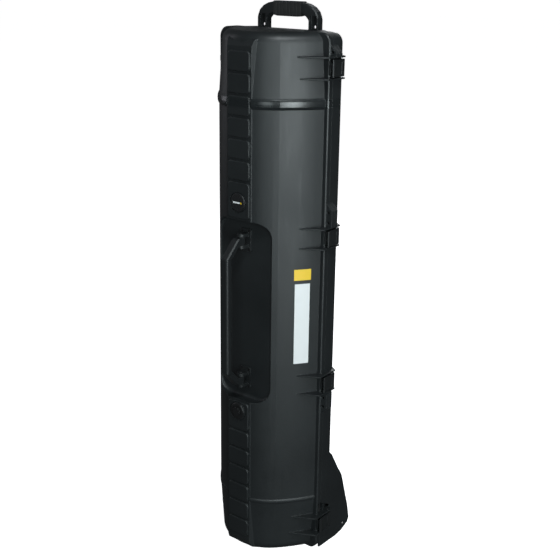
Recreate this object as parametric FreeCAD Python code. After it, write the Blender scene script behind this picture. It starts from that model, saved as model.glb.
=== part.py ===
import FreeCAD, Part
import math
import os

V = FreeCAD.Vector

# Long wheeled two-shell case standing on its wheel end. Millimetres.
# +Z runs along the case, -Y is the lid side, +Y the base side, +X the latch side, -X the hinge side.

# Shells
LENGTH = 1160.0          # height of the closed case, without the pull handle
CAP_RADIUS = 114.0       # outer radius of the round front of each shell
END_RADIUS = 106.0       # the same, where the shell ends
CAP_CENTRE = 8.0         # distance of each round's centre from the middle plane
FLANK_RADIUS = 318.0     # outer radius of the flatter flanks, where the front radius is CAP_RADIUS
FLANK_START = 45.0       # angle from the front at which the flanks begin
TAPER = 128.0            # length over which a shell narrows towards each end
WALL = 4.0
END_ROUND = 22.0
RIM_HALF = 145.5         # half width of the rims
RIM_INSIDE = 132.0       # half width of the mouth
RIM_ROUND = 22.0
RIM_DEPTH = 15.0
BASE_RIM_DEPTH = 18.0
BASE_STEP_DEPTH = 31.0
PARTING = -2.0           # plane of the base rim's face
GAP = 0.3                # space between the two rims

# Belts, spine and recess
UPPER_BELT = (22.0, 3.6)       # width and height of the raised band near the upper end
LOWER_BELT = (10.0, 1.5)
SPINE_HALF = 32.0
SPINE_FRONT = -119.0
PAD_FRONT = -122.2
PAD_HALF = 29.0
PAD_PITCH = 44.0
PAD_GAP = 5.0
PADS = 7
FIRST_PAD_TOP = 1125.0
RECESS_FLOOR = -95.0
RECESS_HALF = 74.0
RECESS_LOW, RECESS_HIGH = 372.0, 778.0
DISC_RADIUS = 19.0
BADGE_Z = 816.0
VALVE_Z = 345.0

# Latches and hinges share their heights
STATIONS = (68.3, 415.6, 744.4, 1091.7)
RIB_OFFSET = 21.3
RIB_THICK = 3.0
RIB_OUT = 155.0
LEVER_PIVOT = (149.8, 20.0)
LEVER_PIN_R = 2.0
CLAW_PIVOT = (149.5, 4.0)
CLAW_PIN_R = 1.8
HINGE_X, HINGE_Y = -150.8, 1.0
HINGE_PIN_R = 2.0
KNUCKLE_R = 5.0
FILM = 0.4               # thickness of the films on the flank
RUN = 0.05               # radial clearance of every running fit

# Carry handle, in the lid's recess
CARRY_Y = -112.0
CARRY_PIN_R = 3.0
CARRY_MID = 0.5 * (RECESS_LOW + RECESS_HIGH)
CARRY_BARREL = (149.5, 165.5)      # barrel's two ends, measured from the handle's middle

# Pull handle, in the base's top end
PULL_Y, PULL_Z = 40.0, 1148.0
PULL_HALF, PULL_INSIDE = 78.5, 56.0
PULL_THICK = 18.0
PULL_PIN_R = 4.0
PULL_WEB = 4.0           # web left between the hollows of each leg
POCKET_HALF = 84.5
POCKET_FLOOR = 1131.0

# Wheels
WHEEL_Y, WHEEL_Z, WHEEL_R = 82.0, 47.0, 43.0
WHEEL_IN, WHEEL_OUT = 104.0, 124.0
RIM_OF_HUB = 33.0
DISH_DEPTH = 7.0
AXLE_R = 4.0
BUSH_R = 7.0
WELL_IN, WELL_OUT = 100.0, 141.0
CHEEK_OUT = 145.0


def box(x0, x1, y0, y1, z0, z1):
    return Part.makeBox(x1 - x0, y1 - y0, z1 - z0, V(x0, y0, z0))


def rod(start, axis, radius, length):
    return Part.makeCylinder(radius, length, V(*start), V(*axis))


def plan(points, z0, z1):
    """Prism of an outline given in X and Y."""
    wire = Part.makePolygon([V(x, y, z0) for x, y in points] + [V(points[0][0], points[0][1], z0)])
    return Part.Face(wire).extrude(V(0, 0, z1 - z0))


def front(points, y0, y1):
    """Prism of an outline given in X and Z."""
    wire = Part.makePolygon([V(x, y0, z) for x, z in points] + [V(points[0][0], y0, points[0][1])])
    return Part.Face(wire).extrude(V(0, y1 - y0, 0))


def side(points, x0, x1):
    """Prism of an outline given in Y and Z."""
    wire = Part.makePolygon([V(x0, y, z) for y, z in points] + [V(x0, points[0][0], points[0][1])])
    return Part.Face(wire).extrude(V(x1 - x0, 0, 0))


def along(shape, axis):
    """Straight edges that run along an axis."""
    found = []
    for edge in shape.Edges:
        if len(edge.Vertexes) == 2:
            run = edge.Vertexes[1].Point - edge.Vertexes[0].Point
            if run.Length > 1e-6 and abs(abs(run.normalize().dot(V(*axis))) - 1) < 1e-6:
                found.append(edge)
    return found


def soft_box(x0, x1, y0, y1, z0, z1, axis, radius):
    """Box with its four edges along one axis rounded."""
    block = box(x0, x1, y0, y1, z0, z1)
    return block.makeFillet(radius, along(block, axis))


def mirror_x(shape):
    return shape.mirror(V(0, 0, 0), V(1, 0, 0))


def mirror_y(shape):
    return shape.mirror(V(0, 0, 0), V(0, 1, 0))


def merge(parts):
    return parts[0].multiFuse(parts[1:]).removeSplitter()


def flank_centre():
    """Centre, in X and Y, of the latch-side flank."""
    turn = math.radians(FLANK_START)
    step = FLANK_RADIUS - CAP_RADIUS
    return -step * math.sin(turn), -CAP_CENTRE + step * math.cos(turn)


def shell_outline(radius, close_y, z):
    """Round front, flatter round flanks that follow on from it, and a closing line."""
    turn = math.radians(FLANK_START)
    centre_x, centre_y = flank_centre()
    flank_radius = radius + FLANK_RADIUS - CAP_RADIUS
    last = math.acos((centre_y - close_y) / flank_radius)

    def on_flank(angle, sign):
        return V(sign * (centre_x + flank_radius * math.sin(angle)), centre_y - flank_radius * math.cos(angle), z)

    arcs = [Part.Arc(on_flank(turn, -1), V(0, -CAP_CENTRE - radius, z), on_flank(turn, 1)).toShape()]
    for sign in (1, -1):
        middle = on_flank(0.5 * (turn + last), sign)
        arcs.append(Part.Arc(on_flank(turn, sign), middle, on_flank(last, sign)).toShape())
    closing = Part.makeLine(on_flank(last, -1), on_flank(last, 1))
    return Part.Wire(Part.__sortEdges__(arcs + [closing]))


def dome(inset, close_y):
    """Rounded long form of one shell, every outside face moved in by inset."""
    levels = ((inset, END_RADIUS), (TAPER, CAP_RADIUS), (LENGTH - TAPER, CAP_RADIUS), (LENGTH - inset, END_RADIUS))
    wires = [shell_outline(radius - inset, close_y, z) for z, radius in levels]
    spans = [Part.makeLoft(wires[i:i + 2], True, True) for i in range(3)]
    body = merge(spans)
    ends = []
    for edge in body.Edges:
        flat_end = edge.BoundBox.ZLength < 1e-4 and (
            abs(edge.BoundBox.ZMin - inset) < 1e-4 or abs(edge.BoundBox.ZMax - LENGTH + inset) < 1e-4)
        on_closing = edge.BoundBox.YLength < 1e-4 and abs(edge.BoundBox.YMax - close_y) < 1e-4
        if flat_end and not on_closing:
            ends.append(edge)
    return body.makeFillet(END_ROUND - inset, ends)


def rim(half, inset, y0, y1, radius):
    return soft_box(-half, half, y0, y1, inset, LENGTH - inset, (0, 1, 0), radius)


def belt(z0, width, height):
    """Raised band with a rounded face round one shell."""
    profile = ((0.0, 0.05), (0.08, 0.5), (0.26, 0.88), (0.5, 1.0), (0.74, 0.88), (0.92, 0.5), (1.0, 0.05))
    wires = [shell_outline(CAP_RADIUS + rise * height, -RIM_DEPTH + 1, z0 + share * width)
             for share, rise in profile]
    return [Part.makeLoft(wires[i:i + 2], True, True) for i in range(len(wires) - 1)]


def belted_dome():
    """Outer form of one shell with its two belts."""
    body = merge([dome(0, -RIM_DEPTH + 1)] + belt(LENGTH - TAPER - UPPER_BELT[0], *UPPER_BELT))
    return merge([body] + belt(TAPER, *LOWER_BELT))


def spine():
    """Raised strip down the middle of the lid, with sloped ends and sides."""
    profile = [(-60, 4), (-96, 4), (-112, 10), (SPINE_FRONT, 24), (SPINE_FRONT, LENGTH - 28),
               (-113, LENGTH - 16), (-92, LENGTH - 4), (-60, LENGTH - 1)]
    length_form = side(profile, -60, 60)
    slope = SPINE_HALF + 10
    section = plan([(-SPINE_HALF, SPINE_FRONT), (SPINE_HALF, SPINE_FRONT),
                    (slope, SPINE_FRONT + 20), (slope, -60), (-slope, -60), (-slope, SPINE_FRONT + 20)], 0, LENGTH)
    return length_form.common(section)


def pad(z0, z1, radius=8.0):
    """One raised rounded block of the spine, with a bevelled front."""
    block = soft_box(-PAD_HALF, PAD_HALF, PAD_FRONT, SPINE_FRONT + 3, z0, z1, (0, 1, 0), radius)
    rim_edges = [e for e in block.Edges if abs(e.BoundBox.YMax - PAD_FRONT) < 1e-4 and e.BoundBox.YLength < 1e-4]
    return block.makeChamfer(1.2, rim_edges)


def pads():
    half_gap = PAD_GAP / 2
    tops = [FIRST_PAD_TOP - PAD_PITCH * i for i in range(PADS - 1)]
    upper = [pad(top - PAD_PITCH + half_gap, top - half_gap) for top in tops]
    lower = [pad(LENGTH - top + half_gap, LENGTH - top + PAD_PITCH - half_gap) for top in tops]
    last = tops[-1] - PAD_PITCH
    upper_last = pad(RECESS_HIGH + 5, last - half_gap)
    lower_last = pad(LENGTH - last + half_gap, RECESS_LOW - 5)
    for block, z in ((upper_last, BADGE_Z), (lower_last, VALVE_Z)):
        ring = rod((0, PAD_FRONT - 1, z), (0, 1, 0), DISC_RADIUS + 3, 3.0)
        ring = ring.cut(rod((0, PAD_FRONT - 2, z), (0, 1, 0), DISC_RADIUS + 0.5, 6.0))
        upper.append(block.cut(ring))
    return upper + lower


def rib_pair(points, z):
    """Two thin protective ribs above and below one station."""
    return [plan(points, z + s * RIB_OFFSET - RIB_THICK / 2, z + s * RIB_OFFSET + RIB_THICK / 2) for s in (-1, 1)]


def ears(y0, y1):
    """Padlock ears beside the middle latches and at the top corner."""
    half = RIB_OFFSET + RIB_THICK / 2
    upper, lower = STATIONS[2] + half, STATIONS[1] - half
    high = STATIONS[3] + half
    shapes = [
        front([(140, upper), (160, upper), (160, upper + 36), (146, upper + 50), (140, upper + 50)], y0, y1),
        front([(140, lower), (160, lower), (160, lower - 36), (146, lower - 50), (140, lower - 50)], y0, y1),
        front([(120, high - 1), (160, high - 1), (160, high + 6), (129, LENGTH - 4), (120, LENGTH - 4)], y0, y1),
    ]
    holes = []
    for x, z in ((151, upper + 10), (151, upper + 31), (151, lower - 10), (151, lower - 31), (150, high + 8)):
        holes.append(rod((x, y0 - 1, z), (0, 1, 0), 3.2, y1 - y0 + 2))
    return shapes, holes


def side_pocket():
    """Hollow in both rims' edges above the lowest latch, with a sloped top and an upright bar."""
    low = STATIONS[0] + RIB_OFFSET + RIB_THICK / 2
    outline = [(-11, low), (-11, low + 26), (-2, low + 26), (33, low + 6), (33, low)]
    bar = box(134, RIM_HALF - 1, 9, 12.5, low - 1, low + 30)
    return side(outline, 135.5, RIM_HALF + 2).cut(bar)


def knuckles(low_high, web_y0, web_y1):
    """Hinge barrels and the webs that join them to a shell's rim."""
    parts = []
    for z in STATIONS:
        for low, high in low_high:
            barrel = rod((HINGE_X, HINGE_Y, z + low), (0, 0, 1), KNUCKLE_R, high - low)
            parts.append(barrel)
            parts.append(box(HINGE_X, -RIM_HALF + 2, web_y0, web_y1, z + low, z + high))
    return parts


def cavity(keepouts):
    """Hollow inside one shell, on the lid's side, open at the parting plane."""
    space = dome(WALL, -PARTING + 4)
    limit = soft_box(-RIM_INSIDE, RIM_INSIDE, -200, 5, 12, LENGTH - 12, (0, 1, 0), RIM_ROUND - 10)
    space = space.common(limit)
    for block in keepouts:
        space = space.cut(block)
    return space


def lid_cavity():
    recess = box(-RECESS_HALF - 8, RECESS_HALF + 8, -200, RECESS_FLOOR + WALL, RECESS_LOW - 8, RECESS_HIGH + 8)
    return cavity([recess])


def base_cavity():
    well = box(WELL_IN - 4, 160, 29, 140, -1, 2 * WHEEL_Z + 8)
    pocket = box(-POCKET_HALF - 4, POCKET_HALF + 4, 20, 140, POCKET_FLOOR - 4, LENGTH)
    hollow = mirror_y(cavity([]))
    for block in (well, mirror_x(well), pocket):
        hollow = hollow.cut(block)
    return hollow


def lid_shell():
    face = PARTING - GAP
    outline = rim(RIM_HALF, 0, -200, 0, RIM_ROUND)
    slab = rim(RIM_HALF, 0, -RIM_DEPTH, face, RIM_ROUND)
    slab_edges = [e for e in slab.Edges if abs(e.BoundBox.YMax + RIM_DEPTH) < 1e-4]
    slab = slab.makeChamfer(2.0, slab_edges)
    flat = box(-SPINE_HALF, SPINE_HALF, -140, SPINE_FRONT + 0.5, 0, LENGTH)
    body = belted_dome().common(outline).cut(flat)
    body = merge([body, slab])
    body = merge([body, spine()])
    body = merge([body] + pads())
    lid_rib = [(100, -60), (110, -55), (RIB_OUT, -30), (RIB_OUT, face), (128, face)]
    parts = knuckles([(-5.6, 5.6)], -8.0, face)
    for z in STATIONS:
        parts += rib_pair(lid_rib, z)
    ear_shapes, holes = ears(-12.0, face)
    shell = merge([body] + parts + ear_shapes)
    recess = soft_box(-RECESS_HALF, RECESS_HALF, -200, RECESS_FLOOR, RECESS_LOW, RECESS_HIGH, (0, 1, 0), 38)
    floor_edges = [e for e in recess.Edges if abs(e.BoundBox.YMin - RECESS_FLOOR) < 1e-4]
    recess = recess.makeFillet(8.0, floor_edges)
    bores = [rod((HINGE_X, HINGE_Y, z - 10), (0, 0, 1), HINGE_PIN_R + RUN, 20) for z in STATIONS]
    valve_hole = rod((0, -140, VALVE_Z), (0, 1, 0), 12.0, 40)
    shell = shell.cut(recess).cut(lid_cavity())
    return shell.cut([valve_hole, side_pocket()] + holes + bores)


def cheek_outline(shift):
    """Side view of a wheel housing; shift moves its outer edge inwards."""
    s = shift
    return [(PARTING, 1 + s), (PARTING, 234), (28 - s, 234 - s), (40 - s, 222 - s), (80 - s, 153 - s),
            (108 - s, 61), (115 - s, 27), (110 - s, 16 + s), (84 - s, 4.5 + s), (60, 1 + s)]


def cheek():
    """Plate outside one wheel, and the sloped roof from it to the shell."""
    plate = side(cheek_outline(0), WELL_OUT, CHEEK_OUT)
    roof = side(cheek_outline(0), 96, WELL_OUT + 1).cut(side(cheek_outline(WALL), 90, WELL_OUT + 2))
    roof = roof.common(box(90, WELL_OUT + 1, 20, 140, 2 * WHEEL_Z + 4, 240))
    facet = side([(2, 222), (20, 206), (62, 170), (90, 180), (60, 250), (2, 250)], CHEEK_OUT - 1.6, CHEEK_OUT + 1)
    plate = plate.cut(facet)
    hole = rod((WELL_OUT - 1, 92.3, 20.6), (1, 0, 0), 4.2, 10)
    seat = rod((WELL_OUT - 1, WHEEL_Y, WHEEL_Z), (1, 0, 0), AXLE_R, 3.0)
    boss = rod((WHEEL_OUT + 1, WHEEL_Y, WHEEL_Z), (1, 0, 0), 9.0, WELL_OUT - WHEEL_OUT)
    boss = boss.cut(rod((WHEEL_OUT, WHEEL_Y, WHEEL_Z), (1, 0, 0), AXLE_R, WELL_OUT - WHEEL_OUT + 2))
    return merge([plate.cut([hole, seat]), roof, boss])


def base_shell():
    outline = mirror_y(rim(RIM_HALF, 0, -200, 0, RIM_ROUND))
    slab = rim(RIM_HALF, 0, PARTING, BASE_RIM_DEPTH, RIM_ROUND)
    slab = slab.makeChamfer(1.5, [e for e in slab.Edges if abs(e.BoundBox.YMin - BASE_RIM_DEPTH) < 1e-4])
    step = rim(RIM_HALF - 2.5, 2.5, PARTING, BASE_STEP_DEPTH, RIM_ROUND - 2.5)
    body = mirror_y(belted_dome()).common(outline)
    body = merge([body, slab, step])
    base_rib = [(128, PARTING), (RIB_OUT, PARTING), (RIB_OUT, 25.6), (RIM_HALF - 3, 34), (128, 40)]
    parts = knuckles([(-17.0, -6.0), (6.0, 17.0)], PARTING, 5.0)
    for z in STATIONS:
        parts += rib_pair(base_rib, z)
    ear_shapes, holes = ears(PARTING, 8.0)
    shell = merge([body] + parts + ear_shapes)
    well = box(WELL_IN, WELL_OUT, BASE_STEP_DEPTH + 2, 140, -1, 2 * WHEEL_Z + 4)
    pocket = box(-POCKET_HALF, POCKET_HALF, 24, 140, POCKET_FLOOR, LENGTH + 1)
    shell = merge([shell.cut([well, mirror_x(well)]), cheek(), mirror_x(cheek())])
    shell = shell.cut(base_cavity()).cut(pocket)
    seat = rod((WELL_IN - 21, WHEEL_Y, WHEEL_Z), (1, 0, 0), 9.0, 24.0)
    seat = seat.cut(rod((WELL_IN - 7, WHEEL_Y, WHEEL_Z), (1, 0, 0), AXLE_R, 14))
    shell = merge([shell, seat, mirror_x(seat)])
    bores = [rod((HINGE_X, HINGE_Y, z - 20), (0, 0, 1), HINGE_PIN_R, 40) for z in STATIONS]
    bores += [rod((LEVER_PIVOT[0], LEVER_PIVOT[1], z - 30), (0, 0, 1), LEVER_PIN_R, 60) for z in STATIONS]
    return shell.cut([side_pocket(), gasket_ring(5.0, PARTING - 1, PARTING + 4)] + holes + bores)


def gasket_ring(width, y0, y1):
    """Loop that follows the middle of the rim."""
    middle = 0.5 * (RIM_HALF + RIM_INSIDE)
    out, inn = middle + width / 2, middle - width / 2
    outer_end, inner_end = RIM_HALF - out, RIM_HALF - inn
    outer = soft_box(-out, out, y0, y1, outer_end, LENGTH - outer_end, (0, 1, 0), RIM_ROUND - outer_end)
    inner = soft_box(-inn, inn, y0 - 1, y1 + 1, inner_end, LENGTH - inner_end, (0, 1, 0), RIM_ROUND - inner_end)
    return outer.cut(inner)


def foam_block(hollow, z0, z1, saddle):
    """Foam that fills a length of a shell, with a round saddle for what the case carries."""
    block = hollow.common(box(-130, 130, -130, 130, z0, z1))
    return block.cut(rod((0, 0, z0 - 1), (0, 0, 1), saddle, z1 - z0 + 2))


def foam_hollow(lid):
    """Room that the foam may fill: the shell's hollow moved in from its walls."""
    space = dome(WALL + 0.6, PARTING - 2)
    space = space.common(box(-124, 124, -200, PARTING - 2, 20, LENGTH - 40))
    return space if lid else mirror_y(space)


def latch_lever(z):
    x, y = LEVER_PIVOT
    profile = [(155.6, 22.5), (156.6, 14), (156.6, -10), (159, -18), (157, -19.5), (154, -13),
               (153.2, -8), (153.2, 14), (x, 16.1), (x, 23.9), (153, 24.5)]
    plate = plan(profile, z - 17, z + 17)
    barrel = rod((x, y, z - 17), (0, 0, 1), 3.9, 34)
    lugs = [box(146.6, 153.6, 0.2, 7.8, z + low, z + low + 4) for low in (-15, 11)]
    recess = box(155.8, 160, -6, 12, z - 12, z + 12)
    lever = merge([plate, barrel] + lugs)
    pin = rod((x, y, z - 20), (0, 0, 1), LEVER_PIN_R + RUN, 40)
    claw_pin = rod((CLAW_PIVOT[0], CLAW_PIVOT[1], z - 20), (0, 0, 1), CLAW_PIN_R, 40)
    return lever.cut([pin, claw_pin, recess])


def latch_claw(z):
    x, y = CLAW_PIVOT
    arm = plan([(146.5, -11.8), (149.6, -11.8), (151.2, -8), (151.4, y), (146.5, y)], z - 10.5, z + 10.5)
    barrel = rod((x, y, z - 10.5), (0, 0, 1), 3.0, 21)
    window = box(140, 160, -6, -1, z - 5, z + 5)
    return merge([arm, barrel]).cut([window, rod((x, y, z - 20), (0, 0, 1), CLAW_PIN_R + RUN, 40)])


def claw_pin(z):
    return rod((CLAW_PIVOT[0], CLAW_PIVOT[1], z - 15), (0, 0, 1), CLAW_PIN_R, 30)


def latch_pivot_pins():
    length = 2 * (RIB_OFFSET + RIB_THICK / 2)
    return [rod((LEVER_PIVOT[0], LEVER_PIVOT[1], z - length / 2), (0, 0, 1), LEVER_PIN_R, length) for z in STATIONS]


def latch_strikes():
    return [box(RIM_HALF, 149.5, -15.5, -12.2, z - 14, z + 14) for z in STATIONS]


def hinge_pins():
    return [rod((HINGE_X, HINGE_Y, z - 17), (0, 0, 1), HINGE_PIN_R, 34) for z in STATIONS]


def carry_side(sign, offset):
    """Height on the carry handle, offset from its middle."""
    return CARRY_MID + sign * offset


def carry_handle_frame():
    bar = soft_box(-11, 11, -168, -152, CARRY_MID - 127, CARRY_MID + 127, (0, 0, 1), 5)
    groove = box(-8, 8, -156, -151, CARRY_MID - 112, CARRY_MID + 112)
    parts = [bar.cut(groove)]
    low, high = CARRY_BARREL
    for sign in (-1, 1):
        outline = [(-168, 118), (-168, 124), (-164, 130), (-133, high - 3), (-129, high), (CARRY_Y, high),
                   (CARRY_Y, low), (-125, low), (-152, 123), (-152, 118)]
        arm = side([(y, carry_side(sign, z)) for y, z in outline], -9, 9)
        arm = arm.makeChamfer(2.5, [e for e in arm.Edges if e.BoundBox.XLength < 1e-4
                                    and e.BoundBox.YMax < -124 and e.BoundBox.YMin < -132])
        z0 = min(carry_side(sign, low), carry_side(sign, high))
        parts += [arm, rod((0, CARRY_Y, z0), (0, 0, 1), 8.0, high - low)]
    frame = merge(parts)
    return frame.cut(rod((0, CARRY_Y, 0), (0, 0, 1), CARRY_PIN_R + RUN, LENGTH))


def carry_handle_grip():
    pad_body = soft_box(-8, 8, -156, -150.2, CARRY_MID - 112, CARRY_MID + 112, (0, 0, 1), 1.5)
    grooves = [box(-9, 9, -151.2, -149, CARRY_MID + 14 * i - 2, CARRY_MID + 14 * i + 2) for i in range(-7, 8)]
    return pad_body.cut(grooves)


def carry_bracket(sign):
    low, high = CARRY_BARREL
    z0, z1 = sorted((carry_side(sign, low - 18), carry_side(sign, high + 16)))
    plate = soft_box(-15, 15, RECESS_FLOOR - 3, RECESS_FLOOR, z0, z1, (0, 1, 0), 5)
    parts = [plate]
    for a, b in ((low - 8, low - 0.5), (high + 0.5, high + 8)):
        la, lb = sorted((carry_side(sign, a), carry_side(sign, b)))
        parts.append(box(-9, 9, CARRY_Y, RECESS_FLOOR, la, lb))
        parts.append(rod((0, CARRY_Y, la), (0, 0, 1), 9.0, lb - la))
    cuts = [rod((0, CARRY_Y, 0), (0, 0, 1), CARRY_PIN_R, LENGTH)]
    for x, z in carry_screw_places(sign):
        cuts.append(rod((x, RECESS_FLOOR - 5, z), (0, 1, 0), 1.8, 10))
        cuts.append(Part.makeCone(3.4, 1.8, 2.0, V(x, RECESS_FLOOR - 3, z), V(0, 1, 0)))
    return merge(parts).cut(cuts)


def carry_screw_places(sign):
    low, high = CARRY_BARREL
    return [(x, carry_side(sign, z)) for x in (-9.5, 9.5) for z in (low - 13, high + 11.5)]


def carry_bracket_screws():
    """Countersunk screws of both brackets; the shank ends flush with the plate's back."""
    screws = []
    for sign in (-1, 1):
        for x, z in carry_screw_places(sign):
            head = Part.makeCone(3.4, 1.8, 2.0, V(x, RECESS_FLOOR - 3, z), V(0, 1, 0))
            shank = rod((x, RECESS_FLOOR - 1.5, z), (0, 1, 0), 1.8, 1.5)
            slot = box(x - 2.4, x + 2.4, RECESS_FLOOR - 4, RECESS_FLOOR - 2.2, z - 0.5, z + 0.5)
            screws.append(merge([head, shank]).cut([slot]))
    return screws


def carry_handle_pins():
    low, high = CARRY_BARREL
    pins = []
    for sign in (-1, 1):
        z0 = min(carry_side(sign, low - 8), carry_side(sign, high + 8))
        pins.append(rod((0, CARRY_Y, z0), (0, 0, 1), CARRY_PIN_R, high - low + 16))
    return pins


def pull_handle_frame():
    outer = [(-PULL_HALF, PULL_Z), (-PULL_HALF, 1186), (-74.5, 1195), (-65, 1203.5), (-52, 1209.5), (-36, 1212.5),
             (36, 1212.5), (52, 1209.5), (65, 1203.5), (74.5, 1195), (PULL_HALF, 1186), (PULL_HALF, PULL_Z)]
    inner = [(-PULL_INSIDE, PULL_Z - 5), (-PULL_INSIDE, 1172), (-53, 1179), (-47, 1185), (-38, 1188), (38, 1188),
             (47, 1185), (53, 1179), (PULL_INSIDE, 1172), (PULL_INSIDE, PULL_Z - 5)]
    y0, y1 = PULL_Y - PULL_THICK / 2, PULL_Y + PULL_THICK / 2
    bow = front(outer, y0, y1).cut(front(inner, y0 - 1, y1 + 1))
    bow = bow.makeChamfer(2.5, [e for e in bow.Edges if e.BoundBox.YLength < 1e-4 and e.BoundBox.ZMin > 1150])
    width = PULL_HALF - PULL_INSIDE
    middle = 0.5 * (PULL_HALF + PULL_INSIDE)
    legs = [rod((x - width / 2, PULL_Y, PULL_Z), (1, 0, 0), PULL_THICK / 2, width) for x in (-middle, middle)]
    frame = merge([bow] + legs)
    cuts = [rod((-100, PULL_Y, PULL_Z), (1, 0, 0), PULL_PIN_R + RUN, 200)]
    hollow = width / 2 - 2.4
    for x in (-middle, middle):
        cuts.append(rod((x, 0, 1165), (0, 1, 0), 3.2, 80))
        for near, far in ((y0 - 1, PULL_Y - PULL_WEB / 2), (PULL_Y + PULL_WEB / 2, y1 + 1)):
            cuts.append(box(x - hollow, x + hollow, near, far, PULL_Z + 10.5, PULL_Z + 39))
    return frame.cut(cuts)


def pull_handle_grip():
    """Rubber sleeve round the middle of the pull handle, fuller below."""
    y0, y1 = PULL_Y - PULL_THICK / 2, PULL_Y + PULL_THICK / 2
    outline = [(-36, 1186), (-26, 1183.5), (26, 1183.5), (36, 1186), (36, 1214), (-36, 1214)]
    sleeve = front(outline, y0 - 1.5, y1 + 1.5)
    sleeve = sleeve.makeFillet(3.0, [e for e in sleeve.Edges if e.BoundBox.YLength < 1e-4 and e.BoundBox.XLength > 20])
    grooves = []
    for x in range(-27, 28, 9):
        grooves += [box(x - 1, x + 1, 0, 80, 1213, 1216), box(x - 1, x + 1, y0 - 2, y0 - 0.7, 1180, 1216),
                    box(x - 1, x + 1, y1 + 0.7, y1 + 2, 1180, 1216)]
    return sleeve.cut(grooves).cut(pull_handle_frame())


def pull_bracket(sign):
    floor_top = POCKET_FLOOR + 3
    inner, outer = (PULL_INSIDE - 5.5, PULL_INSIDE - 0.5), (PULL_HALF + 0.5, POCKET_HALF - 0.5)
    parts = [box(inner[0] - 4, outer[1], PULL_Y - 14, PULL_Y + 14, POCKET_FLOOR, floor_top)]
    for x0, x1 in (inner, outer):
        parts.append(box(x0, x1, PULL_Y - 9, PULL_Y + 9, POCKET_FLOOR, PULL_Z))
        parts.append(rod((x0, PULL_Y, PULL_Z), (1, 0, 0), 9.0, x1 - x0))
    bracket = merge(parts)
    cuts = [rod((0, PULL_Y, PULL_Z), (1, 0, 0), PULL_PIN_R, 120)]
    cuts += [rod((x, y, POCKET_FLOOR - 1), (0, 0, 1), 2.0, 6) for x, y in pull_screw_places()]
    bracket = bracket.cut(cuts)
    return bracket if sign > 0 else mirror_x(bracket)


def pull_screw_places():
    middle = 0.5 * (PULL_HALF + PULL_INSIDE)
    return [(middle, PULL_Y - 11), (middle, PULL_Y + 11)]


def pull_bracket_screws():
    screws = []
    for x, y in pull_screw_places():
        screw = rod((x, y, POCKET_FLOOR), (0, 0, 1), 2.0, 3.0)
        screws += [screw, mirror_x(screw)]
    return screws


def pull_handle_pins():
    start, end = PULL_INSIDE - 5.5, POCKET_HALF - 0.5
    pin = rod((start, PULL_Y, PULL_Z), (1, 0, 0), PULL_PIN_R, end - start)
    return [pin, mirror_x(pin)]


def wheel_hub():
    hub = rod((WHEEL_IN + 1, WHEEL_Y, WHEEL_Z), (1, 0, 0), RIM_OF_HUB, WHEEL_OUT - WHEEL_IN - 2)
    dish = rod((WHEEL_IN, WHEEL_Y, WHEEL_Z), (1, 0, 0), RIM_OF_HUB - 5, DISH_DEPTH)
    dish = dish.cut(rod((WHEEL_IN - 1, WHEEL_Y, WHEEL_Z), (1, 0, 0), BUSH_R + 4, 12))
    far_dish = dish.copy()
    far_dish.translate(V(WHEEL_OUT - WHEEL_IN - DISH_DEPTH, 0, 0))
    cuts = [dish, far_dish, rod((WHEEL_IN, WHEEL_Y, WHEEL_Z), (1, 0, 0), BUSH_R, 40)]
    for i in range(6):
        angle = math.radians(60 * i)
        y, z = WHEEL_Y + 20 * math.cos(angle), WHEEL_Z + 20 * math.sin(angle)
        cuts.append(rod((WHEEL_IN - 1, y, z), (1, 0, 0), 6.0, 40))
    return hub.cut(cuts)


def wheel_tyre():
    tyre = rod((WHEEL_IN, WHEEL_Y, WHEEL_Z), (1, 0, 0), WHEEL_R, WHEEL_OUT - WHEEL_IN)
    tyre = tyre.makeFillet(4.0, [e for e in tyre.Edges if e.BoundBox.XLength < 1e-4])
    tyre = tyre.cut(rod((WHEEL_IN - 1, WHEEL_Y, WHEEL_Z), (1, 0, 0), RIM_OF_HUB, 40))
    grooves = []
    for x in (WHEEL_IN + 7, WHEEL_OUT - 7):
        ring = rod((x - 1, WHEEL_Y, WHEEL_Z), (1, 0, 0), WHEEL_R + 1, 2)
        grooves.append(ring.cut(rod((x - 2, WHEEL_Y, WHEEL_Z), (1, 0, 0), WHEEL_R - 1.5, 4)))
    return tyre.cut(grooves)


def wheel_bush():
    bush = rod((WHEEL_IN + 1, WHEEL_Y, WHEEL_Z), (1, 0, 0), BUSH_R, WHEEL_OUT - WHEEL_IN - 2)
    return bush.cut(rod((WHEEL_IN, WHEEL_Y, WHEEL_Z), (1, 0, 0), AXLE_R + RUN, 40))


def wheel_axles():
    start, end = WELL_IN - 7, WELL_OUT + 2
    axle = rod((start, WHEEL_Y, WHEEL_Z), (1, 0, 0), AXLE_R, end - start)
    return [axle, mirror_x(axle)]


def badge_disc():
    disc = rod((0, PAD_FRONT - 2, BADGE_Z), (0, 1, 0), DISC_RADIUS, 2.0)
    return disc.makeChamfer(0.8, [e for e in disc.Edges if abs(e.BoundBox.YMax - PAD_FRONT + 2) < 1e-4])


def valve_body():
    """Flanged vent body; its threaded stem goes through the lid's wall."""
    flange = rod((0, PAD_FRONT - 3, VALVE_Z), (0, 1, 0), DISC_RADIUS, 3.0)
    flange = flange.makeChamfer(1.0, [e for e in flange.Edges if abs(e.BoundBox.YMax - PAD_FRONT + 3) < 1e-4])
    stem = rod((0, PAD_FRONT - 1, VALVE_Z), (0, 1, 0), 11.9, 11.0)
    cuts = [rod((0, PAD_FRONT - 4, VALVE_Z), (0, 1, 0), 11.0, 2.5),
            rod((0, PAD_FRONT - 4, VALVE_Z), (0, 1, 0), 3.0 + RUN, 10.0)]
    return merge([flange, stem]).cut(cuts)


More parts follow.
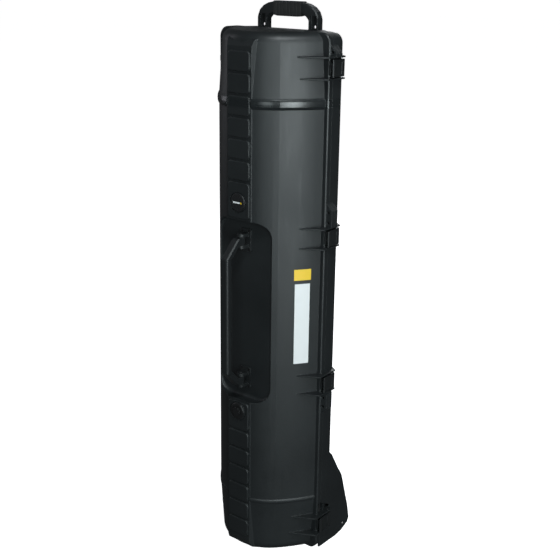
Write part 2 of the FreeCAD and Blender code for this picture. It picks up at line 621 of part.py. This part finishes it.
def valve_knob():
    cap = rod((0, PAD_FRONT - 6, VALVE_Z), (0, 1, 0), 10.4, 4.2)
    stem = rod((0, PAD_FRONT - 2, VALVE_Z), (0, 1, 0), 3.0, 7.0)
    flutes = []
    for i in range(8):
        angle = math.radians(45 * i)
        x, z = 11.6 * math.cos(angle), VALVE_Z + 11.6 * math.sin(angle)
        flutes.append(rod((x, PAD_FRONT - 7, z), (0, 1, 0), 2.6, 6))
    return merge([cap, stem]).cut(flutes)


def valve_nut():
    """Hexagon nut against the inside of the lid's wall."""
    corners = [(17 * math.cos(math.radians(60 * i)), VALVE_Z + 17 * math.sin(math.radians(60 * i))) for i in range(6)]
    wall_inside = -CAP_CENTRE - math.sqrt((CAP_RADIUS - WALL) ** 2 - 17 ** 2) + 0.3
    nut = front(corners, wall_inside, wall_inside + 4)
    return nut.cut(rod((0, wall_inside - 1, VALVE_Z), (0, 1, 0), 11.9, 8))


def flank_film(low, high, z0, z1):
    """Thin film on the lid's latch-side flank; low and high run round the flank from its start."""
    x, y = flank_centre()
    film = rod((x, y, z0), (0, 0, 1), FLANK_RADIUS + FILM, z1 - z0)
    film = film.cut(rod((x, y, z0 - 1), (0, 0, 1), FLANK_RADIUS, z1 - z0 + 2))
    reach = FLANK_RADIUS + 20
    corners = [(x, y)]
    for distance in (low, high):
        angle = math.radians(FLANK_START) + distance / FLANK_RADIUS
        corners.append((x + reach * math.sin(angle), y - reach * math.cos(angle)))
    return film.common(plan(corners, z0, z1))


def make_nodes():
    nodes = {
        "base_shell": base_shell(),
        "lid_shell": lid_shell(),
        "base_gasket": gasket_ring(4.6, PARTING, PARTING + 4),
        "base_foam_upper": foam_block(foam_hollow(False), 900, 960, 62),
        "base_foam_lower": foam_block(foam_hollow(False), 200, 260, 62),
        "lid_foam_upper": foam_block(foam_hollow(True), 900, 960, 62),
        "lid_foam_lower": foam_block(foam_hollow(True), 200, 260, 62),
        "hinge_pins": Part.makeCompound(hinge_pins()),
        "latch_pivot_pins": Part.makeCompound(latch_pivot_pins()),
        "latch_strikes": Part.makeCompound(latch_strikes()),
        "carry_handle_frame": carry_handle_frame(),
        "carry_handle_grip": carry_handle_grip(),
        "carry_bracket_upper": carry_bracket(1),
        "carry_bracket_lower": carry_bracket(-1),
        "carry_bracket_screws": Part.makeCompound(carry_bracket_screws()),
        "carry_handle_pins": Part.makeCompound(carry_handle_pins()),
        "pull_handle_frame": pull_handle_frame(),
        "pull_handle_grip": pull_handle_grip(),
        "pull_bracket_right": pull_bracket(1),
        "pull_bracket_left": pull_bracket(-1),
        "pull_bracket_screws": Part.makeCompound(pull_bracket_screws()),
        "pull_handle_pins": Part.makeCompound(pull_handle_pins()),
        "wheel_axles": Part.makeCompound(wheel_axles()),
        "badge_disc": badge_disc(),
        "valve_body": valve_body(),
        "valve_knob": valve_knob(),
        "valve_nut": valve_nut(),
        "side_stripe": flank_film(37, 70, 466, 646),
        "side_mark": flank_film(35, 72, 654, 678),
    }
    for name, maker in (("hub", wheel_hub), ("tyre", wheel_tyre), ("bush", wheel_bush)):
        nodes["right_wheel_" + name] = maker()
        nodes["left_wheel_" + name] = mirror_x(maker())
    for number, z in enumerate(STATIONS, 1):
        nodes["latch_lever_%d" % number] = latch_lever(z)
        nodes["latch_claw_%d" % number] = latch_claw(z)
        nodes["claw_pin_%d" % number] = claw_pin(z)
    return nodes


os.makedirs("parts", exist_ok=True)
for node, shape in make_nodes().items():
    shape.exportStep("parts/%s.step" % node)
    solids = shape.Solids
    print("%-22s valid %s solids %d volume %.0f" % (node, shape.isValid(), len(solids), shape.Volume))
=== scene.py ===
import bmesh
import bpy
import math
from mathutils import Matrix, Vector


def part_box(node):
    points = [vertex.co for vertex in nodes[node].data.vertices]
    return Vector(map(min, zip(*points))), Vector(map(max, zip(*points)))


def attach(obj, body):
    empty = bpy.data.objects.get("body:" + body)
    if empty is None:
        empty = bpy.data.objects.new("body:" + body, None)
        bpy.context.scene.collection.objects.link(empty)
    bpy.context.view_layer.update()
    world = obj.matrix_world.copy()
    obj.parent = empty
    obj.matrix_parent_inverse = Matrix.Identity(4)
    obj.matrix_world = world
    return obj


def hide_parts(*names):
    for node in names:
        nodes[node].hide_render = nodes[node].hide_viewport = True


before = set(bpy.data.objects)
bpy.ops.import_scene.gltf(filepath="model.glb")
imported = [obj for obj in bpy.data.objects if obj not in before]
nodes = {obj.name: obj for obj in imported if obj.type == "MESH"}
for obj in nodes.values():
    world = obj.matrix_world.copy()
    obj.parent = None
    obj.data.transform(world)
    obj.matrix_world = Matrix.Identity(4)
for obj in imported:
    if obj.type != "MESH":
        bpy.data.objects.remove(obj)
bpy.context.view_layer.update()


# ---- Floor, light and camera ----
# A seamless white sheet runs under and round the case. A narrow tall softbox on the right is the main light,
# and others stand in front, high up, at the left and behind. The camera looks slightly down from just above.

def blank_material(name):
    """A new node material: the material, its tree and its Principled shader."""
    made = bpy.data.materials.new(name)
    made.use_nodes = True
    return made, made.node_tree, made.node_tree.nodes["Principled BSDF"]


paper, _, paper_shader = blank_material("seamless_paper")
paper_shader.inputs["Base Color"].default_value = (0.9, 0.9, 0.9, 1.0)
paper_shader.inputs["Roughness"].default_value = 0.95
paper_shader.inputs["Specular IOR Level"].default_value = 0.1
paper_shader.inputs["Emission Color"].default_value = (1.0, 1.0, 1.0, 1.0)
paper_shader.inputs["Emission Strength"].default_value = 0.95


def hang_paper(name, form):
    """Hangs a form in the seamless paper, which is seen but throws no light back on the case."""
    mesh = bpy.data.meshes.new(name)
    form.to_mesh(mesh)
    form.free()
    mesh.materials.append(paper)
    sheet = bpy.data.objects.new(name, mesh)
    sheet.visible_glossy = False
    sheet.visible_diffuse = False
    bpy.context.scene.collection.objects.link(sheet)


FLOOR_HALF = 30.0
SURROUND_RADIUS = 25.0
floor_form = bmesh.new()
bmesh.ops.create_grid(floor_form, x_segments=1, y_segments=1, size=FLOOR_HALF)
hang_paper("paper_floor", floor_form)
surround_form = bmesh.new()
bmesh.ops.create_icosphere(surround_form, subdivisions=4, radius=SURROUND_RADIUS)
bmesh.ops.reverse_faces(surround_form, faces=surround_form.faces)
hang_paper("paper_surround", surround_form)

bpy.context.scene.view_settings.view_transform = "Standard"
world = bpy.data.worlds.new("studio")
bpy.context.scene.world = world
world.use_nodes = True
room = world.node_tree.nodes["Background"]
room.inputs["Color"].default_value = (0.94, 0.97, 1.0, 1.0)
room.inputs["Strength"].default_value = 0.06

case_middle = Vector((0.0, 0.0, 0.6))


def softbox(name, place, width, height, power, colour):
    """Area light that faces the middle of the case."""
    lamp = bpy.data.lights.new(name, "AREA")
    lamp.shape = "RECTANGLE"
    lamp.size, lamp.size_y = width, height
    lamp.energy = power
    lamp.color = colour
    holder = bpy.data.objects.new(name, lamp)
    holder.location = place
    holder.rotation_euler = (case_middle - Vector(place)).to_track_quat("-Z", "Y").to_euler()
    bpy.context.scene.collection.objects.link(holder)


softbox("key_softbox", (2.27, -1.26, 0.95), width=0.5, height=2.0, power=48.0,
        colour=(0.88, 0.98, 1.0))
softbox("fill_softbox", (1.3, -2.7, 1.2), width=1.1, height=2.0, power=22.0,
        colour=(0.86, 0.98, 1.0))
softbox("top_softbox", (1.25, -1.0, 3.05), width=0.5, height=0.5, power=36.0,
        colour=(0.9, 0.97, 1.0))
softbox("rim_softbox", (-2.4, -0.4, 1.5), width=0.6, height=2.0, power=5.0,
        colour=(0.92, 0.92, 1.0))
softbox("back_softbox", (-0.9, 2.8, 1.5), width=1.4, height=2.0, power=32.0,
        colour=(0.94, 0.98, 1.0))

# Where the camera stands: its turn about the case, its tilt and roll, and its place in metres.
view_angle = math.radians(38.62)
view_tilt = math.radians(17.78)
view_roll = 0.0143
view_distance, view_side, view_height = 2.0978, 0.0128, 1.2918
right = Vector((math.cos(view_angle), math.sin(view_angle), 0.0))
level = Vector((-math.sin(view_angle), math.cos(view_angle), 0.0))
forward = level * math.cos(view_tilt) + Vector((0.0, 0.0, -math.sin(view_tilt)))
upward = level * math.sin(view_tilt) + Vector((0.0, 0.0, math.cos(view_tilt)))
camera_right = right * math.cos(view_roll) + upward * math.sin(view_roll)
camera_up = upward * math.cos(view_roll) - right * math.sin(view_roll)
camera_data = bpy.data.cameras.new("camera")
camera_data.sensor_width = 36.0
camera_data.lens = 63.93
camera = bpy.data.objects.new("camera", camera_data)
turn = Matrix((camera_right, camera_up, -forward)).transposed().to_4x4()
place = -level * view_distance + right * view_side + Vector((0.0, 0.0, view_height))
camera.matrix_world = Matrix.Translation(place) @ turn
bpy.context.scene.collection.objects.link(camera)
bpy.context.scene.camera = camera


# ---- Shells ----
# Lid and base are halves of one long shell, injection-moulded in charcoal polypropylene about 4 mm thick.
# The mould's spark-eroded grain covers them; corners and rib edges are rubbed smooth by handling.

def object_place(tree, stretch=(1.0, 1.0, 1.0), centre=(0.0, 0.0, 0.0)):
    """Object coordinates, moved to a centre and then stretched."""
    coordinates = tree.nodes.new("ShaderNodeTexCoord")
    shift = tree.nodes.new("ShaderNodeMapping")
    shift.inputs["Location"].default_value = [-c * s for c, s in zip(centre, stretch)]
    shift.inputs["Scale"].default_value = stretch
    tree.links.new(coordinates.outputs["Object"], shift.inputs["Vector"])
    return shift.outputs["Vector"]


def speckle(tree, place, scale, detail, roughness=0.5):
    """Noise value over a surface."""
    noise = tree.nodes.new("ShaderNodeTexNoise")
    noise.inputs["Scale"].default_value = scale
    noise.inputs["Detail"].default_value = detail
    noise.inputs["Roughness"].default_value = roughness
    tree.links.new(place, noise.inputs["Vector"])
    return noise.outputs["Fac"]


def spread(tree, value, low, high, to_low, to_high):
    """A value's range from low to high turned into the range from to_low to to_high."""
    ranged = tree.nodes.new("ShaderNodeMapRange")
    for socket, number in (("From Min", low), ("From Max", high), ("To Min", to_low), ("To Max", to_high)):
        ranged.inputs[socket].default_value = number
    tree.links.new(value, ranged.inputs["Value"])
    return ranged.outputs["Result"]


def product(tree, first, second):
    """Two values multiplied."""
    times = tree.nodes.new("ShaderNodeMath")
    times.operation = "MULTIPLY"
    tree.links.new(first, times.inputs[0])
    tree.links.new(second, times.inputs[1])
    return times.outputs["Value"]


def tinted(tree, share, dark, light):
    """Colour between two tones by a share from 0 to 1."""
    ramp = tree.nodes.new("ShaderNodeValToRGB")
    ramp.color_ramp.elements[0].color = [*dark, 1.0]
    ramp.color_ramp.elements[1].color = [*light, 1.0]
    tree.links.new(share, ramp.inputs["Fac"])
    return ramp.outputs["Color"]


def laid_over(tree, share, under, colour):
    """A colour laid over another by a share from 0 to 1."""
    mix = tree.nodes.new("ShaderNodeMix")
    mix.data_type = "RGBA"
    tree.links.new(share, mix.inputs["Factor"])
    tree.links.new(under, mix.inputs["A"])
    mix.inputs["B"].default_value = [*colour, 1.0]
    return mix.outputs["Result"]


def soft_edge(tree, radius):
    """Normal that is rounded near every edge, and the share by which a point is on an edge."""
    rounded = tree.nodes.new("ShaderNodeBevel")
    rounded.samples = 4
    rounded.inputs["Radius"].default_value = radius
    flat = tree.nodes.new("ShaderNodeNewGeometry")
    match = tree.nodes.new("ShaderNodeVectorMath")
    match.operation = "DOT_PRODUCT"
    tree.links.new(rounded.outputs["Normal"], match.inputs[0])
    tree.links.new(flat.outputs["Normal"], match.inputs[1])
    return rounded.outputs["Normal"], spread(tree, match.outputs["Value"], 0.995, 0.9, 0.0, 1.0)


def raised(tree, shader, height, depth, normal=None):
    """Relief from a height value."""
    bump = tree.nodes.new("ShaderNodeBump")
    bump.inputs["Distance"].default_value = depth
    tree.links.new(height, bump.inputs["Height"])
    if normal:
        tree.links.new(normal, bump.inputs["Normal"])
    tree.links.new(bump.outputs["Normal"], shader.inputs["Normal"])


def distance_in_height(tree, middle):
    """How far a point lies above or below a height."""
    axes = tree.nodes.new("ShaderNodeSeparateXYZ")
    tree.links.new(object_place(tree, centre=(0.0, 0.0, middle)), axes.inputs["Vector"])
    away = tree.nodes.new("ShaderNodeMath")
    away.operation = "ABSOLUTE"
    tree.links.new(axes.outputs["Z"], away.inputs[0])
    return away.outputs["Value"]


def moulded_plastic(name, colour, grain, depth, gloss, edge):
    """Textured plastic: eroded grain, slow drift of tone, faint rubbed streaks and worn edges."""
    made, tree, shader = blank_material(name)
    surface = object_place(tree)
    drift = speckle(tree, surface, 7.0, 5.0)
    pits = speckle(tree, surface, grain, 2.0, 0.6)
    darker, lighter = [c * 0.82 for c in colour], [c * 1.18 for c in colour]
    tone = tinted(tree, spread(tree, drift, 0.3, 0.7, 0.0, 1.0), darker, lighter)
    normal, edges = soft_edge(tree, edge)
    wear = product(tree, edges, spread(tree, speckle(tree, surface, 60.0, 3.0), 0.4, 0.75, 0.0, 0.8))
    tone = laid_over(tree, wear, tone, [c * 2.4 + 0.01 for c in colour])
    streaks = speckle(tree, object_place(tree, (1.0, 1.0, 0.12)), 95.0, 4.0, 0.6)
    rubbed = spread(tree, streaks, 0.62, 0.78, 0.0, 0.35)
    tone = laid_over(tree, rubbed, tone, [c * 1.9 + 0.004 for c in colour])
    tree.links.new(tone, shader.inputs["Base Color"])
    polish = product(tree, spread(tree, drift, 0.25, 0.75, gloss - 0.05, gloss + 0.05),
                     spread(tree, streaks, 0.5, 0.8, 1.0, 0.84))
    tree.links.new(polish, shader.inputs["Roughness"])
    raised(tree, shader, pits, depth, normal)
    return made


def finish_nodes(material, *names):
    """Gives nodes of the frame their material."""
    for name in names:
        data = nodes[name].data
        data.materials.clear()
        data.materials.append(material)


def polish_belt(material, middle, half_width):
    """Rubs the material glossier at the height of the raised belt near the upper end."""
    tree = material.node_tree
    shader = tree.nodes["Principled BSDF"]
    rubbed = spread(tree, distance_in_height(tree, middle), 0.5 * half_width, half_width, 0.5, 1.0)
    gloss = shader.inputs["Roughness"].links[0].from_socket
    tree.links.new(product(tree, gloss, rubbed), shader.inputs["Roughness"])


BELT_MIDDLE = 1.021
BELT_HALF_WIDTH = 0.012
SHELL_GRAIN = 620.0
case_plastic = moulded_plastic("case_plastic", (0.0100, 0.0120, 0.0128),
                               grain=SHELL_GRAIN, depth=0.00010, gloss=0.47, edge=0.0016)
polish_belt(case_plastic, BELT_MIDDLE, BELT_HALF_WIDTH)
finish_nodes(case_plastic, "base_shell", "lid_shell")


# ---- Rim gasket ----
# A cord of closed-cell rubber, pressed into the groove of the base's rim, on which the lid's rim closes.

def matt_rubber(name, colour, pebble, depth):
    """Matt rubber: pebbled skin with a pale bloom in patches."""
    made, tree, shader = blank_material(name)
    surface = object_place(tree)
    bloom = spread(tree, speckle(tree, surface, 24.0, 4.0), 0.45, 0.8, 0.0, 0.5)
    grains = speckle(tree, surface, pebble, 3.0, 0.6)
    tone = tinted(tree, grains, [c * 0.7 for c in colour], [c * 1.3 for c in colour])
    bloomed = laid_over(tree, bloom, tone, [c * 1.6 + 0.003 for c in colour])
    tree.links.new(bloomed, shader.inputs["Base Color"])
    tree.links.new(spread(tree, grains, 0.3, 0.7, 0.62, 0.8), shader.inputs["Roughness"])
    normal, _ = soft_edge(tree, 0.0008)
    raised(tree, shader, grains, depth, normal)
    return made


gasket_rubber = matt_rubber("gasket_rubber", (0.010, 0.010, 0.0105), pebble=900.0, depth=0.00012)
finish_nodes(gasket_rubber, "base_gasket")


# ---- Foam cradles ----
# Four blocks of dark grey polyether foam, two in each shell, cut to a round saddle for what the case carries.
# The saddles are convoluted in small waves by the cutter; the cut corners are soft, and glue holds the backs.

def open_cell_foam():
    """Open-cell foam: fine cell pits, painted darker inside as shade, over soft mottling."""
    made, tree, shader = blank_material("open_cell_foam")
    surface = object_place(tree)
    cells = tree.nodes.new("ShaderNodeTexVoronoi")
    cells.inputs["Scale"].default_value = 750.0
    tree.links.new(surface, cells.inputs["Vector"])
    pit_depth_and_shade = spread(tree, cells.outputs["Distance"], 0.0, 0.8, 0.0, 1.0)
    # Painted shade: each cell pit goes from near black at its bottom to the foam's own grey at its rim.
    tone = tinted(tree, pit_depth_and_shade, (0.006, 0.006, 0.0065), (0.055, 0.056, 0.06))
    mottle = spread(tree, speckle(tree, surface, 30.0, 4.0), 0.35, 0.8, 0.0, 0.45)
    tree.links.new(laid_over(tree, mottle, tone, (0.03, 0.03, 0.033)), shader.inputs["Base Color"])
    shader.inputs["Roughness"].default_value = 0.95
    shader.inputs["Specular IOR Level"].default_value = 0.2
    shader.inputs["Sheen Weight"].default_value = 0.15
    raised(tree, shader, pit_depth_and_shade, 0.0005)
    return made


foam = open_cell_foam()
SADDLE_RADIUS = 0.062
SADDLE_SKIN = 0.003
WAVE_PITCH = 0.0155
WAVE_DEPTH = 0.0045
FOAM_INSET = 0.0008
FOAM_VOXEL = 0.0025


def foam_cradle(name, node, body):
    """A cradle cut from a copy of its block: softened corners, and waves cut into the saddle."""
    form = bmesh.new()
    form.from_mesh(nodes[node].data)
    bmesh.ops.remove_doubles(form, verts=form.verts, dist=0.00001)
    block = bpy.data.meshes.new(name + "_block")
    form.to_mesh(block)
    form.free()
    piece = bpy.data.objects.new(name, block)
    bpy.context.scene.collection.objects.link(piece)
    fine = piece.modifiers.new("fine_skin", "REMESH")
    fine.mode = "VOXEL"
    fine.voxel_size = FOAM_VOXEL
    softened = piece.modifiers.new("soft_corners", "SMOOTH")
    softened.factor = 0.5
    softened.iterations = 6
    finished = piece.evaluated_get(bpy.context.evaluated_depsgraph_get())
    skin = bpy.data.meshes.new_from_object(finished)
    piece.modifiers.clear()
    piece.data = skin
    skin.name = name
    form = bmesh.new()
    form.from_mesh(skin)
    bmesh.ops.recalc_face_normals(form, faces=form.faces)
    form.normal_update()
    moves = []
    for vertex in form.verts:
        x, y, z = vertex.co
        radius = math.hypot(x, y)
        cut = FOAM_INSET
        if radius < SADDLE_RADIUS + SADDLE_SKIN and abs(vertex.normal.z) < 0.5:
            around = SADDLE_RADIUS * math.atan2(x, abs(y))
            wave = math.cos(math.tau * around / WAVE_PITCH) * math.cos(math.tau * z / WAVE_PITCH)
            cut += WAVE_DEPTH * (0.5 - 0.5 * wave)
        moves.append(vertex.normal * -cut)
    for vertex, move in zip(form.verts, moves):
        vertex.co += move
    for face in form.faces:
        face.smooth = True
    form.to_mesh(skin)
    form.free()
    skin.materials.clear()
    skin.materials.append(foam)
    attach(piece, body)
    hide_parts(node)


for end in ("upper", "lower"):
    foam_cradle("base_cradle_" + end, "base_foam_" + end, "base")
    foam_cradle("lid_cradle_" + end, "lid_foam_" + end, "lid")


# ---- Hinge and latch pins ----
# Drawn stainless rod, cut to length and pressed into the knuckles and ribs, with fine lines along it.

def drawn_steel(name, along):
    """Stainless steel with draw lines; along is the stretch of the lines on each axis."""
    made, tree, shader = blank_material(name)
    lines = speckle(tree, object_place(tree, along), 1800.0, 3.0, 0.7)
    stain = speckle(tree, object_place(tree), 120.0, 4.0)
    tone = tinted(tree, lines, (0.42, 0.42, 0.43), (0.66, 0.66, 0.67))
    smut = spread(tree, stain, 0.5, 0.8, 0.0, 0.6)
    tree.links.new(laid_over(tree, smut, tone, (0.2, 0.19, 0.18)), shader.inputs["Base Color"])
    shader.inputs["Metallic"].default_value = 1.0
    tree.links.new(spread(tree, lines, 0.3, 0.7, 0.24, 0.42), shader.inputs["Roughness"])
    normal, _ = soft_edge(tree, 0.0004)
    raised(tree, shader, lines, 0.00002, normal)
    return made


steel_upright = drawn_steel("steel_upright", (1.0, 1.0, 0.02))
finish_nodes(steel_upright, "hinge_pins", "latch_pivot_pins",
             "claw_pin_1", "claw_pin_2", "claw_pin_3", "claw_pin_4", "carry_handle_pins")


# ---- Latches ----
# Four over-centre latches moulded in black nylon, each with a lever on the base, a claw on the lever and a
# strike on the lid. The nylon is a little glossier than the shells, and its grain is finer.

latch_nylon = moulded_plastic("latch_nylon", (0.0082, 0.0096, 0.0100),
                              grain=900.0, depth=0.00006, gloss=0.40, edge=0.0011)
finish_nodes(latch_nylon, "latch_strikes",
             *["latch_%s_%d" % (kind, number) for kind in ("lever", "claw") for number in (1, 2, 3, 4)])


# ---- Carry handle ----
# A cranked nylon bow over the lid's recess, with a ribbed rubber pad set into the inside of the grip.
# Two moulded brackets hold it by steel pins, and blackened screws hold the brackets.

handle_nylon = moulded_plastic("handle_nylon", (0.0088, 0.0102, 0.0108),
                               grain=800.0, depth=0.00008, gloss=0.44, edge=0.0013)
finish_nodes(handle_nylon, "carry_handle_frame", "carry_bracket_upper", "carry_bracket_lower")
grip_rubber = matt_rubber("grip_rubber", (0.0085, 0.0085, 0.0088), pebble=700.0, depth=0.00015)
finish_nodes(grip_rubber, "carry_handle_grip")


def blackened_steel():
    """Screw heads in black oxide, rubbed bright in specks."""
    made, tree, shader = blank_material("blackened_steel")
    surface = object_place(tree)
    oxide = speckle(tree, surface, 500.0, 4.0)
    tone = tinted(tree, oxide, (0.012, 0.012, 0.013), (0.05, 0.05, 0.052))
    rubbed = spread(tree, speckle(tree, surface, 1400.0, 2.0), 0.66, 0.8, 0.0, 0.7)
    tree.links.new(laid_over(tree, rubbed, tone, (0.2, 0.2, 0.2)), shader.inputs["Base Color"])
    shader.inputs["Metallic"].default_value = 0.8
    tree.links.new(spread(tree, oxide, 0.3, 0.7, 0.35, 0.55), shader.inputs["Roughness"])
    normal, _ = soft_edge(tree, 0.0004)
    raised(tree, shader, oxide, 0.00003, normal)
    return made


finish_nodes(blackened_steel(), "carry_bracket_screws", "pull_bracket_screws")


# ---- Pull handle ----
# A nylon bow at the top end, hollowed behind each leg, that folds back into a pocket of the base.
# A rubber sleeve is moulded round its middle, and two brackets in the pocket's floor carry it on steel pins.

finish_nodes(handle_nylon, "pull_handle_frame", "pull_bracket_right", "pull_bracket_left")
finish_nodes(grip_rubber, "pull_handle_grip")
steel_crosswise = drawn_steel("steel_crosswise", (0.02, 1.0, 1.0))
finish_nodes(steel_crosswise, "pull_handle_pins", "wheel_axles", "left_wheel_bush", "right_wheel_bush")


# ---- Wheels ----
# Dished nylon hubs with six holes, each with a solid rubber tyre. The tread has fine cross sipes between its
# two grooves, and it is scuffed and dusty from the floor.

wheel_nylon = moulded_plastic("wheel_nylon", (0.016, 0.0165, 0.0175),
                              grain=800.0, depth=0.00006, gloss=0.42, edge=0.0011)
finish_nodes(wheel_nylon, "left_wheel_hub", "right_wheel_hub")
SIPES = 72


def tyre_rubber():
    """Tread rubber: sipes round the axle, pebbled skin and pale dust."""
    made, tree, shader = blank_material("tyre_rubber")
    low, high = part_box("right_wheel_tyre")
    axle = (0.0, 0.5 * (low.y + high.y), 0.5 * (low.z + high.z))
    surface = object_place(tree, centre=axle)
    axes = tree.nodes.new("ShaderNodeSeparateXYZ")
    tree.links.new(surface, axes.inputs["Vector"])
    angle = tree.nodes.new("ShaderNodeMath")
    angle.operation = "ARCTAN2"
    tree.links.new(axes.outputs["Y"], angle.inputs[0])
    tree.links.new(axes.outputs["Z"], angle.inputs[1])
    turns = tree.nodes.new("ShaderNodeMath")
    turns.operation = "MULTIPLY"
    turns.inputs[1].default_value = SIPES
    tree.links.new(angle.outputs["Value"], turns.inputs[0])
    ripple = tree.nodes.new("ShaderNodeMath")
    ripple.operation = "COSINE"
    tree.links.new(turns.outputs["Value"], ripple.inputs[0])
    blocks = spread(tree, ripple.outputs["Value"], 0.7, 0.95, 1.0, 0.0)
    pebbles = speckle(tree, surface, 600.0, 3.0)
    tone = tinted(tree, pebbles, (0.010, 0.010, 0.0105), (0.024, 0.024, 0.0245))
    dust = spread(tree, speckle(tree, surface, 45.0, 5.0, 0.65), 0.48, 0.8, 0.0, 0.55)
    tree.links.new(laid_over(tree, product(tree, dust, blocks), tone, (0.075, 0.072, 0.066)),
                   shader.inputs["Base Color"])
    tree.links.new(spread(tree, pebbles, 0.3, 0.7, 0.65, 0.85), shader.inputs["Roughness"])
    fine = tree.nodes.new("ShaderNodeBump")
    fine.inputs["Distance"].default_value = 0.0001
    tree.links.new(pebbles, fine.inputs["Height"])
    raised(tree, shader, blocks, 0.0006, fine.outputs["Normal"])
    return made


finish_nodes(tyre_rubber(), "left_wheel_tyre", "right_wheel_tyre")


# ---- Badge and pressure valve ----
# A blank glossy disc above the recess, and below the recess a vent valve with a flanged body, a fluted knob
# and a nut inside. All are moulded in black nylon; the disc is polished, with fine turned rings.

def turned_disc():
    """Polished disc with faint rings round its middle and hairline scratches."""
    made, tree, shader = blank_material("turned_disc")
    low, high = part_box("badge_disc")
    surface = object_place(tree, centre=(0.5 * (low.x + high.x), 0.0, 0.5 * (low.z + high.z)))
    rings = tree.nodes.new("ShaderNodeTexWave")
    rings.wave_type = "RINGS"
    rings.rings_direction = "Y"
    rings.inputs["Scale"].default_value = 320.0
    rings.inputs["Distortion"].default_value = 0.2
    tree.links.new(surface, rings.inputs["Vector"])
    tone = tinted(tree, rings.outputs["Fac"], (0.008, 0.008, 0.0085), (0.017, 0.017, 0.018))
    hairs = speckle(tree, object_place(tree, (1.0, 1.0, 0.06)), 700.0, 3.0, 0.7)
    scratch = spread(tree, hairs, 0.66, 0.76, 0.0, 0.5)
    tree.links.new(laid_over(tree, scratch, tone, (0.06, 0.06, 0.062)), shader.inputs["Base Color"])
    tree.links.new(spread(tree, hairs, 0.4, 0.8, 0.24, 0.4), shader.inputs["Roughness"])
    normal, _ = soft_edge(tree, 0.0008)
    raised(tree, shader, rings.outputs["Fac"], 0.00002, normal)
    return made


finish_nodes(turned_disc(), "badge_disc")
valve_nylon = moulded_plastic("valve_nylon", (0.0085, 0.0088, 0.0092),
                              grain=1000.0, depth=0.00004, gloss=0.36, edge=0.0008)
finish_nodes(valve_nylon, "valve_body", "valve_knob", "valve_nut")


# ---- Side films ----
# A white stripe and a yellow block of cut vinyl film, rolled on to the lid's flank.
# The film is so thin that the shell's grain prints through it.

def vinyl_film(name, colour):
    """Vinyl film: the shell's grain shows through, and its face is faintly soiled and scuffed."""
    made, tree, shader = blank_material(name)
    surface = object_place(tree)
    soil = spread(tree, speckle(tree, surface, 35.0, 5.0, 0.6), 0.5, 0.85, 0.0, 0.3)
    tone = tinted(tree, speckle(tree, surface, 9.0, 2.0), [c * 0.95 for c in colour], colour)
    tree.links.new(laid_over(tree, soil, tone, [c * 0.72 for c in colour]), shader.inputs["Base Color"])
    grain = speckle(tree, surface, SHELL_GRAIN, 2.0, 0.6)
    tree.links.new(spread(tree, grain, 0.3, 0.7, 0.34, 0.5), shader.inputs["Roughness"])
    raised(tree, shader, grain, 0.00004)
    return made


white_film = vinyl_film("white_film", (0.74, 0.75, 0.75))
yellow_film = vinyl_film("yellow_film", (0.80, 0.53, 0.03))
finish_nodes(white_film, "side_stripe")
finish_nodes(yellow_film, "side_mark")


# ---- Badge bars ----
# A short white bar and a yellow one of the same film, stuck side by side across the middle of the blank badge.

BAR_HEIGHT = 0.0036
BAR_THICKNESS = 0.0003
disc_low, disc_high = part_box("badge_disc")
bar_middle = 0.5 * (disc_low.z + disc_high.z)


def badge_bar(name, start, end, film):
    """A thin bar with rounded corners on the face of the badge, from start to end across it."""
    form = bmesh.new()
    bmesh.ops.create_cube(form, size=1.0)
    bmesh.ops.scale(form, verts=form.verts, vec=(end - start, BAR_THICKNESS, BAR_HEIGHT))
    corners = [edge for edge in form.edges
               if abs((edge.verts[0].co - edge.verts[1].co).y) > 0.5 * BAR_THICKNESS]
    bmesh.ops.bevel(form, geom=corners, offset=0.2 * BAR_HEIGHT, offset_type="OFFSET",
                    segments=4, profile=0.5, affect="EDGES", material=-1)
    rims = [edge for edge in form.edges if all(vert.co.y < 0.0 for vert in edge.verts)]
    bmesh.ops.bevel(form, geom=rims, offset=0.3 * BAR_THICKNESS, offset_type="OFFSET",
                    segments=2, profile=0.5, affect="EDGES", material=-1)
    place = (0.5 * (start + end), disc_low.y - 0.5 * BAR_THICKNESS, bar_middle)
    bmesh.ops.translate(form, verts=form.verts, vec=place)
    bmesh.ops.recalc_face_normals(form, faces=form.faces)
    mesh = bpy.data.meshes.new(name)
    form.to_mesh(mesh)
    form.free()
    mesh.materials.append(film)
    bar = bpy.data.objects.new(name, mesh)
    bpy.context.scene.collection.objects.link(bar)
    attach(bar, "lid")


badge_bar("badge_bar_white", -0.0115, 0.0065, white_film)
badge_bar("badge_bar_yellow", 0.0080, 0.0115, yellow_film)
